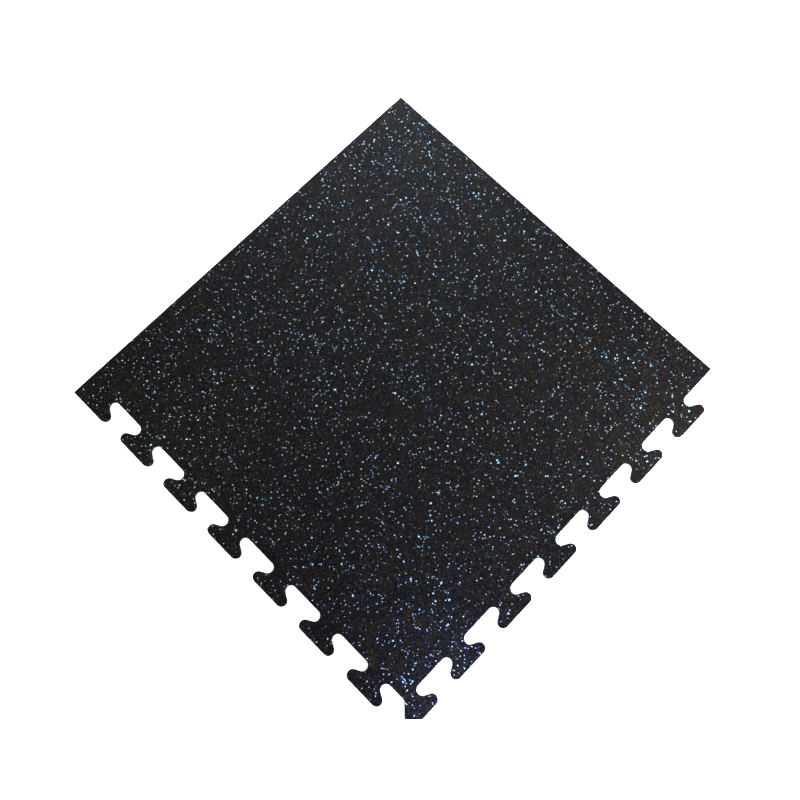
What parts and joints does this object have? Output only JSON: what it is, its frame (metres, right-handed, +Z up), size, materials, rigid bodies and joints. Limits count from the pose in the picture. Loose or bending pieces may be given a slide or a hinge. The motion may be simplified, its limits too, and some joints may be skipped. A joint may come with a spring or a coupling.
{
  "type": "rubber gym floor tile",
  "caption": "Square black rubber floor tile with blue flecks, straight on the two sides that meet the walls and cut with dovetail tabs where it locks to its neighbours",
  "frame": {"origin": "under the middle of the tile's bounding square, on the floor that it lies on", "axes": "+Z up out of the top face, +X towards one straight side and +Y towards the other; the tabs point to -X and -Y"},
  "size_m": [0.6096, 0.6096, 0.0063],
  "materials": {
    "speckled_rubber": "matte, coarse grained"
  },
  "bodies": {
    "root": {"rubber_tile": "speckled_rubber"}
  },
  "joints": []
}
